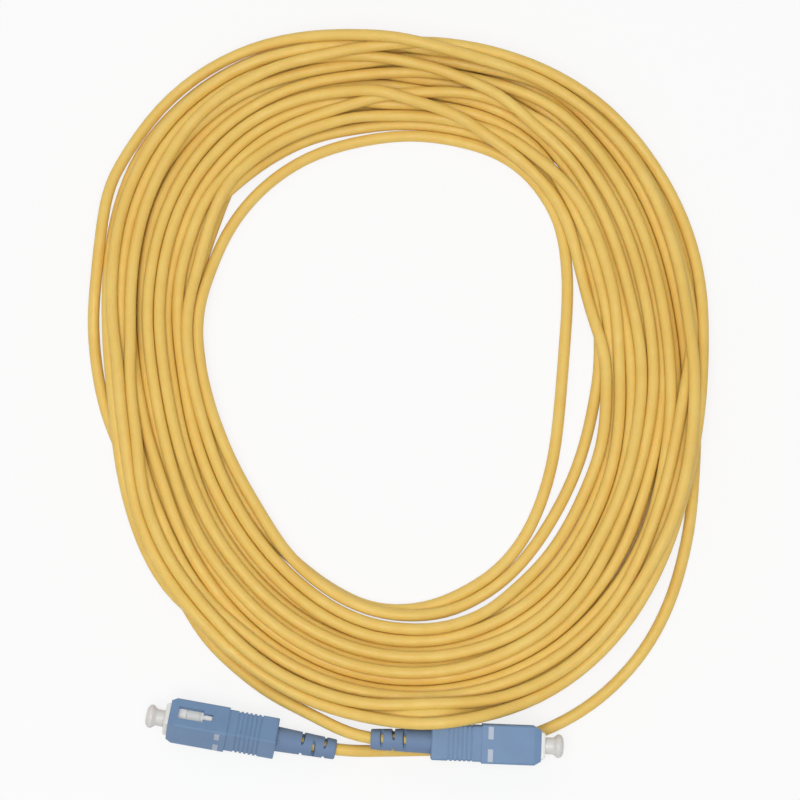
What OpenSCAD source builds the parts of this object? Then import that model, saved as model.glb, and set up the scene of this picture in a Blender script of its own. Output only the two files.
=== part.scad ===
// Fibre optic patch cord: ten metres of round single-fibre cable in a loose coil,
// with a push-pull square plug, a slotted boot and a dust cap on each end.
//
// Each plug is drawn along its own X axis. Its rear face is at x = 0, its nose points to +X,
// Y is its wide direction and the marks are on its +Z face. Lengths are in millimetres.

/* [Cable] */
// Outer diameter of the cable jacket
cable_d = 2.8; // [2.6:0.05:3]
// Diameter of the tight buffer round the fibre
buffer_d = 0.9; // [0.8:0.05:0.95]
// Diameter of the bare glass in the ferrule
glass_d = 0.125; // [0.1:0.005:0.15]
// Room between the glass and the bore of the ferrule
glass_gap = 0.005; // [0.003:0.001:0.01]
// Room between the buffer and the tube round it
buffer_gap = 0.05; // [0.03:0.01:0.08]
// Room between the jacket and what grips it
jacket_gap = 0.05; // [0.03:0.01:0.1]
// Thickness of the crimped layer of strength yarn
yarn_t = 0.16; // [0.1:0.02:0.24]
// Room on each side of the yarn layer
yarn_gap = 0.02; // [0.01:0.01:0.04]

/* [Coupling sleeve] */
// Width of the front body of the sleeve
body_w = 9; // [8.8:0.05:9.2]
// Height of the front body of the sleeve
body_h = 7.4; // [7.2:0.05:7.6]
// Length of the front body of the sleeve
body_len = 13.7; // [13.2:0.1:15]
// Length of the grip behind the front body
grip_len = 11.7; // [11.4:0.1:14]
// Side wall of the grip
grip_side_t = 0.45; // [0.35:0.05:0.6]
// Top and bottom wall of the grip
grip_top_t = 0.42; // [0.35:0.01:0.5]
// Corner radius of the sleeve
sleeve_r = 0.5; // [0.2:0.05:0.7]
// Corner radius of the openings in the sleeve
cavity_r = 0.2; // [0.1:0.05:0.3]
// Front end of the wide cavity to the rear end of the front body
step_setback = 0.2; // [0.1:0.05:0.4]
// Bevel round the rear end of the grip
rear_bevel = 0.3; // [0.1:0.05:0.35]
// Length of the bevel on the front corners
nose_bevel_len = 1.6; // [1:0.1:2]
// Depth of the bevel on the front corners
nose_bevel = 0.95; // [0.5:0.05:1]
// Number of grip grooves
groove_count = 6; // [3:1:6]
// Distance from groove to groove
groove_pitch = 1.05; // [0.9:0.05:1.1]
// Width of a grip groove
groove_w = 0.45; // [0.3:0.05:0.6]
// Depth of a grip groove
groove_depth = 0.2; // [0.1:0.05:0.25]
// Rear end to the middle of the first groove
groove_start = 4.1; // [3:0.1:4.5]
// Width of the key rib
key_w = 2; // [1.6:0.1:2.4]
// Height of the key rib
key_h = 0.7; // [0.5:0.05:0.8]
// Length of the key rib
key_len = 11.3; // [9:0.1:12]
// Length of the wide part of a side window
window_len = 5.8; // [5:0.1:6.4]
// Height of the wide part of a side window
window_h = 3.1; // [2.6:0.1:3.6]
// Length of the narrow part of a side window
window_neck_len = 2.2; // [2.2:0.1:2.6]
// Height of the narrow part of a side window
window_neck_h = 1.7; // [1.5:0.05:2]
// Front end of the sleeve to the side window
window_nose = 2; // [1.8:0.1:2.4]
// Length of an index mark, across the plug
mark_len = 2.95; // [2:0.05:3.1]
// Width of an index mark, along the plug
mark_w = 1.25; // [0.8:0.05:1.5]
// Space between the two index marks
mark_space = 2.2; // [1.6:0.1:2.4]
// Depth of an index mark
mark_depth = 0.15; // [0.1:0.01:0.2]
// Room round an index mark
mark_gap = 0.02; // [0.01:0.01:0.04]
// Rear end of the front body to the index marks
mark_setback = 1.4; // [1:0.1:2.4]

/* [Plug frame] */
// Width of the plug frame
frame_w = 6.4; // [6.2:0.05:6.6]
// Height of the plug frame
frame_h = 5.4; // [5.3:0.05:5.6]
// Room between the plug frame and the sleeve that slides on it
frame_gap = 0.1; // [0.06:0.01:0.12]
// Bevel on the long edges of the plug frame
frame_edge = 0.4; // [0.2:0.05:0.5]
// Bevel round the front end of the plug frame
frame_bevel = 0.5; // [0.3:0.05:0.6]
// Length of the frame in front of the sleeve
frame_proud = 1; // [0.6:0.1:1.4]
// Diameter of the front bore round the ferrule
nose_bore_d = 4.5; // [4.3:0.05:4.6]
// Depth of the front bore
nose_bore_len = 6; // [5.6:0.1:6.2]
// Thickness of the shoulder that stops the ferrule flange
shoulder_t = 1.6; // [1.2:0.1:1.8]
// Room between the ferrule and the bore of the shoulder
shoulder_gap = 0.2; // [0.1:0.05:0.3]
// Depth of the latch notches
notch_depth = 0.6; // [0.4:0.05:0.65]
// Length of the latch notches at their floor
notch_len = 3; // [2.4:0.1:3.2]
// Thickness of the latch bar in front of each notch
latch_bar = 1.8; // [1.4:0.1:2]
// Length of a stop tab
tab_len = 1.6; // [1.2:0.1:1.7]
// Height of a stop tab
tab_h = 1.3; // [1:0.05:1.4]
// Reach of a stop tab into the side window
tab_reach = 0.7; // [0.4:0.05:0.9]
// Room between a stop tab and the rear end of the window
tab_gap = 0.1; // [0.05:0.05:0.2]
// Width of the rear flange of the frame, past the frame on each side
flange_step_w = 0.4; // [0.3:0.05:0.45]
// Height of the rear flange of the frame, past the frame on each side
flange_step_h = 0.17; // [0.12:0.01:0.25]
// Thickness of the rear flange
flange_t = 1.6; // [1:0.1:1.8]
// Length of the frame behind its rear flange
frame_tail = 2; // [1.6:0.1:2.4]
// Travel of the sleeve to unlatch
sleeve_travel = 1.8; // [1.4:0.1:1.9]
// Room left between the flange and its stop at full travel
stop_gap = 0.1; // [0.05:0.05:0.2]

/* [Ferrule] */
// Outer diameter of the ferrule
ferrule_d = 2.499; // [2.49:0.001:2.52]
// Length of the ferrule
ferrule_len = 10.5; // [10:0.1:11]
// Depth of the ferrule in its flange
ferrule_seat = 1.65; // [1.4:0.05:2]
// Diameter of the ferrule flange
collar_d = 4.2; // [4:0.05:4.3]
// Length of the ferrule flange
collar_len = 2.6; // [2.2:0.1:2.8]
// Room round the ferrule flange and the spring
collar_gap = 0.1; // [0.06:0.01:0.15]
// Glue line between the ferrule and its flange
glue_gap = 0.01; // [0.005:0.005:0.02]
// Room between the ferrule flange and its seat
seat_gap = 0.05; // [0.03:0.01:0.08]
// Width of the key slots in the ferrule flange
key_slot_w = 0.6; // [0.4:0.05:0.7]
// Outer diameter of the tail of the ferrule flange
tail_d = 2.4; // [2.2:0.05:2.5]
// Length of the tail of the ferrule flange
tail_len = 4.4; // [3.6:0.1:4.5]
// Wall of the inner tube
tube_t = 0.15; // [0.1:0.01:0.18]
// Bevel on the tip of the ferrule
ferrule_bevel = 0.3; // [0.2:0.05:0.4]
// Bevel on the front edge of the ferrule flange
collar_bevel = 0.3; // [0.2:0.05:0.5]
// Length of the inner tube
tube_len = 11; // [9:0.1:12]
// Depth of the inner tube in the tail
tube_seat = 2.25; // [1.5:0.05:3]
// Length of the buffer behind the ferrule
buffer_len = 17.8; // [16:0.1:18]
// Diameter of the spring wire
wire_d = 0.45; // [0.35:0.01:0.48]
// Room between the spring and the flange bore
spring_gap = 0.15; // [0.1:0.01:0.2]
// Turns of the spring
spring_turns = 5.5; // [4.5:0.5:5.5]

/* [Backbone and crimp] */
// Bore of the backbone
backbone_bore = 2; // [1.8:0.05:2.1]
// Outer diameter of the knurled tube
knurl_d = 3.6; // [3.4:0.05:3.7]
// Length of the knurled tube
knurl_len = 5.5; // [5:0.1:6]
// Depth of the knurl grooves
knurl_depth = 0.12; // [0.05:0.01:0.2]
// Number of knurl grooves
knurl_count = 5; // [3:1:5]
// Diameter of the collar behind the frame
stop_d = 5.4; // [5.2:0.05:5.5]
// Thickness of that collar
stop_t = 2; // [1.5:0.1:2.4]
// Length of the backbone inside the frame
insert_len = 4.4; // [4:0.1:4.6]
// Fit of the backbone in the frame
insert_gap = 0.02; // [0.01:0.01:0.04]
// Height of the snap ring on the backbone
snap_h = 0.2; // [0.1:0.02:0.24]
// Length of the snap ring
snap_len = 0.7; // [0.5:0.05:0.8]
// Rear end of the frame to the snap ring
snap_setback = 1.3; // [0.9:0.1:1.5]
// Wall of the crimp sleeve
crimp_t = 0.3; // [0.2:0.02:0.36]
// Length of the wide part of the crimp sleeve behind the knurled tube
crimp_past = 0.5; // [0.4:0.05:0.7]
// Collar to the front of the crimp sleeve
crimp_setback = 0.2; // [0.1:0.05:0.4]
// Wall of the narrow part of the crimp sleeve
neck_t = 0.4; // [0.3:0.02:0.42]
// Length of the narrow part of the crimp sleeve
neck_len = 3; // [2.6:0.1:3.6]
// Bevel on the front edge of the backbone
insert_bevel = 0.3; // [0.2:0.05:0.4]
// Plain length at each end of the knurled tube
knurl_margin = 0.5; // [0.3:0.1:0.8]
// End of the knurled tube to the end of the cable jacket
jacket_setback = 0.3; // [0.2:0.05:0.5]
// End of the knurled tube to the end of the strength yarn
yarn_setback = 0.1; // [0.05:0.05:0.2]

/* [Boot] */
// Length of the boot behind the sleeve
boot_out = 14; // [13:0.1:16]
// Length of the boot inside the sleeve
boot_in = 3.2; // [2.6:0.1:3.4]
// Wall of the boot over the crimp sleeve
boot_t = 0.55; // [0.45:0.01:0.6]
// Wall of the boot at its small end
boot_end_t = 0.85; // [0.6:0.05:1]
// Fit of the boot on the crimp sleeve
boot_gap = 0.05; // [0.02:0.01:0.08]
// Room between the boot and the sleeve that slides over it
boot_clear = 0.075; // [0.05:0.005:0.12]
// Rounding of the small end of the boot
boot_end_r = 0.35; // [0.2:0.05:0.5]
// Room behind the crimp sleeve in the boot
boot_relief = 0.4; // [0.2:0.1:0.6]
// Width of a flex slot at its floor
slot_w = 0.75; // [0.5:0.05:0.9]
// Flare of a flex slot on the side of the cable
slot_flare = 0.4; // [0.2:0.05:0.6]
// Angle that each flex slot takes round the boot
slot_angle = 100; // [80:5:120]
// Small end of the boot to the first slot
slot_first = 2.7; // [2.3:0.1:3]
// Distance from slot to slot
slot_pitch = 2.65; // [2.2:0.05:2.8]
// Number of flex slots
slot_count = 3; // [2:1:3]

/* [Dust cap] */
// Diameter of the neck of the dust cap
cap_neck_d = 3.9; // [3.6:0.05:4.1]
// Room between the dust cap and the ferrule
cap_gap = 0.02; // [0.01:0.005:0.04]
// Diameter of the knob of the dust cap
cap_knob_d = 5.5; // [5:0.1:6]
// Length of the knob of the dust cap
cap_knob_len = 2.3; // [2:0.1:3]
// Length of the sloped flank behind the knob
knob_flank = 0.5; // [0.3:0.1:0.8]
// Front of the frame to the knob
cap_stand = 2; // [1.8:0.1:2.6]
// Depth of the dust cap in the front bore
cap_depth = 4.8; // [4:0.1:4.9]
// Room in front of the ferrule in the dust cap
cap_room = 0.7; // [0.4:0.1:0.9]

/* [Coil] */
// Loops in the coil
coil_turns = 22.5; // [18.5:2:22.5]
// Half the width of the coil, to the middle of the outer strand
coil_half_w = 71.5; // [70:0.1:74]
// Half the length of the coil, to the middle of the outer strand
coil_half_l = 84; // [82:0.1:85]
// Width of the coil's band, from middle to middle of its strands
coil_band = 25.7; // [24.5:0.1:27]
// Height from layer to layer
layer_pitch = 3.3; // [3.25:0.05:3.5]
// Squareness of the coil, where 2 is an ellipse
coil_power = 2.1; // [2:0.05:2.4]

/* [Hidden] */
$fn = 64;
// Overlap of a cut with the face that it opens, and its reach past a surface
eps = 0.01;
cut_past = 1;
// Room between the ends of two cable pieces
joint_gap = 0.02;

// Colours
blue = [0.45, 0.53, 0.66];
boot_blue = [0.42, 0.49, 0.61];
pale_mark = [0.68, 0.72, 0.79];
white = [0.88, 0.88, 0.87];
ceramic = [0.95, 0.94, 0.9];
steel = [0.72, 0.73, 0.75];
brass = [0.8, 0.7, 0.45];
yarn_yellow = [0.9, 0.82, 0.45];
jacket_yellow = [0.9, 0.76, 0.4];

// Stations along the plug, from its rear end to its nose
sleeve_len = grip_len + body_len;
step_x = grip_len - step_setback;
flange_x = step_x - sleeve_travel - stop_gap;
frame_rear_x = flange_x - flange_t - frame_tail;
frame_front_x = sleeve_len + frame_proud;
shoulder_x = frame_front_x - nose_bore_len;
seat_x = shoulder_x - shoulder_t;
collar_x = seat_x - seat_gap;
collar_rear_x = collar_x - collar_len;
ferrule_x = collar_x - ferrule_seat;
ferrule_tip_x = ferrule_x + ferrule_len;
tail_rear_x = collar_rear_x - tail_len;
insert_x = frame_rear_x + insert_len;
stop_rear_x = frame_rear_x - stop_t;
knurl_rear_x = stop_rear_x - knurl_len;
crimp_x = stop_rear_x - crimp_setback;
crimp_rear_x = knurl_rear_x - crimp_past;
neck_rear_x = crimp_rear_x - neck_len;
jacket_x = knurl_rear_x - jacket_setback;
window_x = sleeve_len - window_nose;
window_neck_x = window_x - window_len;
window_rear_x = window_neck_x - window_neck_len;
tab_x = window_rear_x + tab_gap;
notch_x = window_x - latch_bar;
cap_rear_x = frame_front_x - cap_depth;
knob_x = frame_front_x + cap_stand;
snap_x = frame_rear_x + snap_setback;

// Bores and diameters, from the fibre outwards
tube_bore = buffer_d + 2 * buffer_gap;
tube_od = tube_bore + 2 * tube_t;
tail_bore = tube_od + 2 * glue_gap;
collar_bore = collar_d + 2 * collar_gap;
spring_od = collar_bore - 2 * spring_gap;
yarn_bore = knurl_d + 2 * yarn_gap;
yarn_od = yarn_bore + 2 * yarn_t;
crimp_bore = yarn_od + 2 * yarn_gap;
crimp_od = crimp_bore + 2 * crimp_t;
neck_bore = cable_d + 2 * jacket_gap;
neck_od = neck_bore + 2 * neck_t;
boot_bore = crimp_od + 2 * boot_gap;
boot_neck_bore = neck_od + 2 * boot_gap;
boot_cable_bore = cable_d + 4 * jacket_gap;
boot_od = boot_bore + 2 * boot_t;
boot_end_od = boot_cable_bore + 2 * boot_end_t;
cavity_h = boot_od + 2 * boot_clear;
cavity_w = frame_w + 2 * (flange_step_w + frame_gap);
grip_w = cavity_w + 2 * grip_side_t;
grip_h = cavity_h + 2 * grip_top_t;
insert_od = collar_bore - 2 * insert_gap;

// Where the boots end on the table, and how each plug is turned
exit_a = [-4.4, -4, 4.25];
yaw_a = 170;
pitch_a = 4;
roll_a = -64;
exit_b = [3.8, -1.7, 7.5];
yaw_b = -2.2;
pitch_b = 0;
roll_b = 5;
boot_turn_a = -34;

// Free route of the cable from plug a, under plug b, to the coil
route_a = [
    [2.5, -4.3, 3.1], [7, -4.2, 2.2], [13, -4.1, 1.6], [19, -4, 1.4], [25, -3.7, 1.4],
    [31.5, -3, 1.4], [38, -1.6, 1.4], [44, 0.3, 1.4], [50, 3.1, 1.4], [57, 7.6, 1.4],
    [62, 12.1, 1.4], [66.5, 17, 1.4], [70, 22, 1.4], [73, 27.5, 1.4], [75.5, 33.5, 1.4],
    [77.5, 39.5, 1.4], [79.7, 46, 1.4], [81.7, 53, 1.4], [83.1, 59.5, 1.2]
];
// Free route of the cable from plug b, past the side of the coil, to its top layer
route_b = [
    [-2.5, -1.1, 7.2], [-7, 1.2, 6.3], [-11.5, 3.7, 5], [-17.5, 7.2, 3.5], [-23.5, 11.5, 2.4],
    [-29.5, 16.2, 2], [-35, 21.5, 2], [-40, 27.2, 2.4], [-45, 33.5, 3.2], [-49.5, 40.5, 4.2],
    [-53.2, 48, 5.2], [-56.5, 56, 6.2], [-59.2, 64.5, 7.2], [-61, 73, 8.2], [-62, 81, 9.2],
    [-62.4, 88.5, 10.2]
];

// Coil: a spiral in and out again, layer on layer, along a tilted superellipse
coil_centre = [11.2, 85.6];
coil_tilt = 12;
coil_start = -20;
coil_layers = 4;
coil_rings = 24;
coil_sides = 6;
tail_sides = 8;
coil_floor = cable_d / 2 - cable_d / 10;
climb_turns = 0.5;
layer_turns = coil_turns / coil_layers;

function unit(v) = v / norm(v);
function sgn_pow(v, p) = sign(v) * pow(abs(v), p);
function clamp01(v) = min(1, max(0, v));
function turned(x, y, a) = [x * cos(a) - y * sin(a), x * sin(a) + y * cos(a)];

// How far in from the outer strand the coil is after u turns, 0 to 1
function inward(u) =
    let (layer = min(floor(u / layer_turns), coil_layers - 1), part = u / layer_turns - layer)
    layer % 2 == 0 ? part : 1 - part;

// How many layers up the coil is after u turns
function climbed(u) =
    let (steps = [for (i = [1:coil_layers - 1])
        clamp01((u - i * layer_turns + climb_turns / 2) / climb_turns)])
    steps * [for (s = steps) 1];

function coil_point(u) =
    let (
        a = coil_start + 360 * u,
        half_w = coil_half_w - coil_band * inward(u),
        half_l = coil_half_l - coil_band * inward(u),
        flat = turned(half_w * sgn_pow(cos(a), 2 / coil_power),
            half_l * sgn_pow(sin(a), 2 / coil_power), coil_tilt)
    )
    [coil_centre.x + flat.x, coil_centre.y + flat.y, coil_floor + layer_pitch * climbed(u)];

coil_path = [for (i = [0:round(coil_turns * coil_rings)]) coil_point(i / coil_rings)];

// Level direction of the coil at its two ends
function level(v) = unit([v.x, v.y, 0]);
coil_in = level(coil_path[1] - coil_path[0]);
coil_out = level(coil_path[len(coil_path) - 1] - coil_path[len(coil_path) - 2]);
coil_first = coil_path[0] - cable_d * coil_in;
coil_last = coil_path[len(coil_path) - 1] + cable_d * coil_out;
coil_route = concat([coil_first], coil_path, [coil_last]);

// Least gap between strands that aren't next to each other along the cable
coil_gap = min([for (i = [0:len(coil_path) - 1], j = [i + coil_rings / 2:len(coil_path) - 1])
    norm(coil_path[i] - coil_path[j])]) - cable_d;
echo(coil_gap = coil_gap);

// Direction of a plug's nose, and points on its axis
function nose(yaw, pitch) = [cos(pitch) * cos(yaw), cos(pitch) * sin(yaw), sin(pitch)];
function on_axis(end, dir, x) = end + (x + boot_out) * dir;
plug_points = [jacket_x, neck_rear_x, (neck_rear_x - boot_out) / 2, -boot_out, -boot_out - cable_d];
tail_path_a = concat(
    [for (x = plug_points) on_axis(exit_a, nose(yaw_a, pitch_a), x)],
    route_a,
    [coil_first - cable_d * coil_in, coil_first - joint_gap * coil_in]
);
tail_path_b = concat(
    [for (x = plug_points) on_axis(exit_b, nose(yaw_b, pitch_b), x)],
    route_b,
    [coil_last + cable_d * coil_out, coil_last + joint_gap * coil_out]
);

// A tube along a path: rings of points, flat on top and below, no lower than the table
function heading(path, i) = unit(path[min(i + 1, len(path) - 1)] - path[max(i - 1, 0)]);
function ring(centre, dir, sides) =
    let (side = unit(cross(dir, [0, 0, 1])), up = cross(side, dir))
    [for (k = [0:sides - 1])
        let (
            a = 90 + 180 / sides + 360 * k / sides,
            q = centre + cable_d / 2 * (cos(a) * side + sin(a) * up)
        )
        [q.x, q.y, max(q.z, 0)]];
function tube_faces(rings, sides) = concat(
    [for (k = [1:sides - 2]) [0, k + 1, k]],
    [for (i = [0:rings - 2], k = [0:sides - 1], half = [0, 1])
        let (
            a = i * sides + k,
            b = i * sides + (k + 1) % sides,
            c = b + sides,
            d = a + sides
        )
        half == 0 ? [a, b, c] : [a, c, d]],
    [for (k = [1:sides - 2])
        let (last = (rings - 1) * sides)
        [last, last + k, last + k + 1]]
);

module tube(path, sides) {
    polyhedron(
        points = [for (i = [0:len(path) - 1]) each ring(path[i], heading(path, i), sides)],
        faces = tube_faces(len(path), sides),
        convexity = 10
    );
}

// A rectangle with round corners
module round_rect(w, h, r) {
    square([w - 2 * r, h], center = true);
    square([w, h - 2 * r], center = true);
    for (x = [-1, 1], y = [-1, 1])
        translate([x * (w / 2 - r), y * (h / 2 - r)]) circle(r);
}

// Turns an outline so that its X runs to Y, its Y to Z and its thickness along X
module along_x(x0, x1) {
    translate([x0, 0, 0]) rotate([90, 0, 90]) linear_extrude(x1 - x0) children();
}

// Turns an outline of (x, radius) points round the X axis
module turned_x(points) {
    rotate([0, 90, 0]) rotate_extrude() polygon([for (p = points) [p[1], p[0]]]);
}

// A bar along X with round long edges and bevels at its rear and its front end
module bar(x0, x1, w, h, r, rear, front_len, front) {
    intersection() {
        along_x(x0, x1) round_rect(w, h, r);
        bevelled(x0, x1, w / 2, h, rear, front_len, front);
        rotate([90, 0, 0]) bevelled(x0, x1, h / 2, w, rear, front_len, front / 2);
    }
}

module bevelled(x0, x1, half, depth, rear, front_len, front) {
    linear_extrude(2 * depth, center = true) polygon([
        [x0, half - rear], [x0 + rear, half], [x1 - front_len, half], [x1, half - front],
        [x1, front - half], [x1 - front_len, -half], [x0 + rear, -half], [x0, rear - half]
    ]);
}

// One mark of a pair on the +Z face; grow is negative for the inlay, which then clears its pocket
module mark(side, grow, top) {
    x0 = grip_len + mark_setback;
    y0 = side > 0 ? mark_space / 2 : -mark_space / 2 - mark_len;
    translate([x0 - grow, y0 - grow, body_h / 2 - mark_depth - grow])
        cube([mark_w + 2 * grow, mark_len + 2 * grow, mark_depth + grow + top]);
}

module key_rib() {
    x0 = grip_len;
    base = -body_h / 2;
    rotate([90, 0, 0]) linear_extrude(key_w, center = true) polygon([
        [x0, base + eps], [x0 + key_h, base - key_h],
        [x0 + key_len - key_h, base - key_h], [x0 + key_len, base + eps]
    ]);
}

module side_windows() {
    for (side = [-1, 1]) translate([0, side * (body_w / 2), 0]) {
        translate([window_neck_x, -body_w / 4, -window_h / 2])
            cube([window_len, body_w / 2, window_h]);
        translate([window_rear_x, -body_w / 4, -window_neck_h / 2])
            cube([window_neck_len + eps, body_w / 2, window_neck_h]);
    }
}

module grip_grooves() {
    for (i = [0:groove_count - 1])
        let (x = groove_start + i * groove_pitch)
            along_x(x - groove_w / 2, x + groove_w / 2) difference() {
                square([2 * grip_w, 2 * grip_h], center = true);
                round_rect(grip_w - 2 * groove_depth, grip_h - 2 * groove_depth, sleeve_r);
            }
}

module coupling_sleeve() {
    color(blue) difference() {
        union() {
            difference() {
                bar(0, grip_len + eps, grip_w, grip_h, sleeve_r, rear_bevel, 0, 0);
                grip_grooves();
            }
            bar(grip_len, sleeve_len, body_w, body_h, sleeve_r, 0, nose_bevel_len, nose_bevel);
            key_rib();
        }
        along_x(-eps, step_x) round_rect(cavity_w, cavity_h, cavity_r);
        along_x(step_x - eps, sleeve_len + eps)
            round_rect(frame_w + 2 * frame_gap, frame_h + 2 * frame_gap, cavity_r);
        side_windows();
        for (side = [-1, 1]) mark(side, 0, cut_past);
    }
}

module index_marks() {
    color(pale_mark) for (side = [-1, 1]) mark(side, -mark_gap, 0);
}

module latch_notches() {
    for (side = [0, 1]) mirror([0, side, 0]) translate([0, 0, -frame_h])
        linear_extrude(2 * frame_h) polygon([
            [notch_x, frame_w / 2 - notch_depth], [notch_x, frame_w / 2 + cut_past],
            [notch_x - notch_len - notch_depth - cut_past, frame_w / 2 + cut_past],
            [notch_x - notch_len, frame_w / 2 - notch_depth]
        ]);
}

module plug_frame() {
    reach = frame_w / 2 + tab_reach;
    flange_w = frame_w + 2 * flange_step_w;
    flange_h = frame_h + 2 * flange_step_h;
    color(white) difference() {
        union() {
            difference() {
                bar(frame_rear_x, frame_front_x, frame_w, frame_h, frame_edge, 0,
                    frame_bevel, frame_bevel);
                latch_notches();
            }
            translate([flange_x - flange_t, -flange_w / 2, -flange_h / 2])
                cube([flange_t, flange_w, flange_h]);
            translate([tab_x, -reach, -tab_h / 2]) cube([tab_len, 2 * reach, tab_h]);
        }
        turned_x([
            [frame_rear_x - eps, 0], [frame_rear_x - eps, collar_bore / 2],
            [snap_x - insert_gap, collar_bore / 2],
            [snap_x - insert_gap, collar_bore / 2 + snap_h],
            [snap_x + snap_len + insert_gap, collar_bore / 2 + snap_h],
            [snap_x + snap_len + insert_gap, collar_bore / 2],
            [seat_x, collar_bore / 2], [seat_x, ferrule_d / 2 + shoulder_gap],
            [shoulder_x, ferrule_d / 2 + shoulder_gap], [shoulder_x, nose_bore_d / 2],
            [frame_front_x + eps, nose_bore_d / 2], [frame_front_x + eps, 0]
        ]);
    }
}

module ferrule() {
    glass_bore = glass_d / 2 + glass_gap;
    color(ceramic) turned_x([
        [ferrule_x, buffer_d / 2], [ferrule_x, ferrule_d / 2],
        [ferrule_tip_x - ferrule_bevel, ferrule_d / 2],
        [ferrule_tip_x, (ferrule_d - ferrule_bevel) / 2],
        [ferrule_tip_x, glass_bore], [ferrule_x + buffer_d / 2, glass_bore]
    ]);
}

module ferrule_flange() {
    socket = ferrule_d / 2 + glue_gap;
    color(steel) difference() {
        turned_x([
            [tail_rear_x, tail_bore / 2], [tail_rear_x, tail_d / 2],
            [collar_rear_x, tail_d / 2], [collar_rear_x, collar_d / 2],
            [collar_x - collar_bevel, collar_d / 2], [collar_x, collar_d / 2 - collar_bevel],
            [collar_x, socket], [ferrule_x - glue_gap, socket],
            [ferrule_x - glue_gap, tail_bore / 2]
        ]);
        for (a = [0:90:270]) rotate([a, 0, 0])
            translate([collar_x - collar_len / 2, -key_slot_w / 2, collar_d / 2 - key_slot_w])
                cube([collar_len, key_slot_w, key_slot_w + cut_past]);
    }
}

module spring() {
    rings = 8;
    mean_r = (spring_od - wire_d) / 2;
    x0 = insert_x + seat_gap + wire_d / 2;
    x1 = collar_rear_x - seat_gap - wire_d / 2;
    steps = spring_turns * rings;
    color(steel) polyhedron(
        points = [for (i = [0:steps])
            let (a = 360 * i / rings, out = [0, cos(a), sin(a)])
            for (k = [0:coil_sides - 1])
                let (b = 360 * k / coil_sides)
                [x0 + (x1 - x0) * i / steps, 0, 0] + mean_r * out
                    + wire_d / 2 * (cos(b) * out + sin(b) * [1, 0, 0])],
        faces = tube_faces(steps + 1, coil_sides),
        convexity = 10
    );
}

module inner_tube() {
    x1 = tail_rear_x + tube_seat;
    color(white) turned_x([
        [x1 - tube_len, tube_bore / 2], [x1 - tube_len, tube_od / 2],
        [x1, tube_od / 2], [x1, tube_bore / 2]
    ]);
}

// The buffered fibre, with its bare glass in the bore of the ferrule
module fibre() {
    cone = ferrule_x + buffer_d / 2;
    color("ivory") turned_x([
        [ferrule_x - buffer_len, 0], [ferrule_x - buffer_len, buffer_d / 2],
        [ferrule_x - glue_gap, buffer_d / 2], [cone - glue_gap, glass_d / 2],
        [ferrule_tip_x, glass_d / 2], [ferrule_tip_x, 0]
    ]);
}

module backbone() {
    pitch = (knurl_len - 2 * knurl_margin) / knurl_count;
    color(brass) difference() {
        turned_x([
            [knurl_rear_x, backbone_bore / 2], [knurl_rear_x, knurl_d / 2],
            [stop_rear_x, knurl_d / 2], [stop_rear_x, stop_d / 2],
            [frame_rear_x, stop_d / 2], [frame_rear_x, insert_od / 2],
            [snap_x, insert_od / 2], [snap_x, insert_od / 2 + snap_h],
            [snap_x + snap_len, insert_od / 2], [insert_x - insert_bevel, insert_od / 2],
            [insert_x, insert_od / 2 - insert_bevel], [insert_x, backbone_bore / 2]
        ]);
        for (i = [0:knurl_count - 1])
            let (
                x = knurl_rear_x + knurl_margin + i * pitch,
                floor_r = knurl_d / 2 - knurl_depth,
                past_r = knurl_d / 2 + cut_past
            )
                turned_x([
                    [x, floor_r], [x, past_r], [x + pitch / 2, past_r], [x + pitch / 2, floor_r]
                ]);
    }
}

module crimp_sleeve() {
    color(brass) turned_x([
        [neck_rear_x, neck_bore / 2], [neck_rear_x, neck_od / 2],
        [crimp_rear_x - crimp_t, neck_od / 2], [crimp_rear_x, crimp_od / 2],
        [crimp_x, crimp_od / 2], [crimp_x, crimp_bore / 2],
        [crimp_rear_x + crimp_t, crimp_bore / 2], [crimp_rear_x, neck_bore / 2]
    ]);
}

module strength_yarn() {
    color(yarn_yellow) turned_x([
        [knurl_rear_x + yarn_setback, yarn_bore / 2], [knurl_rear_x + yarn_setback, yarn_od / 2],
        [crimp_x - crimp_setback, yarn_od / 2], [crimp_x - crimp_setback, yarn_bore / 2]
    ]);
}

// Two opposite flex slots; the odd ones lie a quarter turn from the even ones
module flex_slots() {
    reach = boot_od;
    spread = reach * tan(slot_angle / 2);
    for (i = [0:slot_count - 1])
        let (x = -boot_out + slot_first + i * slot_pitch)
            rotate([90 * (i % 2), 0, 0]) intersection() {
                turned_x([
                    [x - slot_w / 2, cable_d / 4], [x - slot_w / 2 - slot_flare, reach],
                    [x + slot_w / 2, reach], [x + slot_w / 2, cable_d / 4]
                ]);
                along_x(x - slot_pitch / 2, x + slot_pitch / 2) for (side = [-1, 1])
                    polygon([[0, 0], [spread, side * reach], [-spread, side * reach]]);
            }
}

module boot() {
    step = crimp_rear_x - boot_relief;
    neck_end = neck_rear_x - boot_relief / 2;
    color(boot_blue) difference() {
        turned_x(concat(
            [[-boot_out, boot_cable_bore / 2]],
            [for (a = [0:15:90]) [
                -boot_out + boot_end_r * (1 - cos(a)),
                boot_end_od / 2 - boot_end_r * (1 - sin(a))
            ]],
            [
                [0, boot_od / 2], [boot_in, boot_od / 2], [boot_in, boot_bore / 2],
                [step, boot_bore / 2], [step, boot_neck_bore / 2],
                [neck_end, boot_neck_bore / 2], [neck_end, boot_cable_bore / 2]
            ]
        ));
        flex_slots();
    }
}

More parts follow.
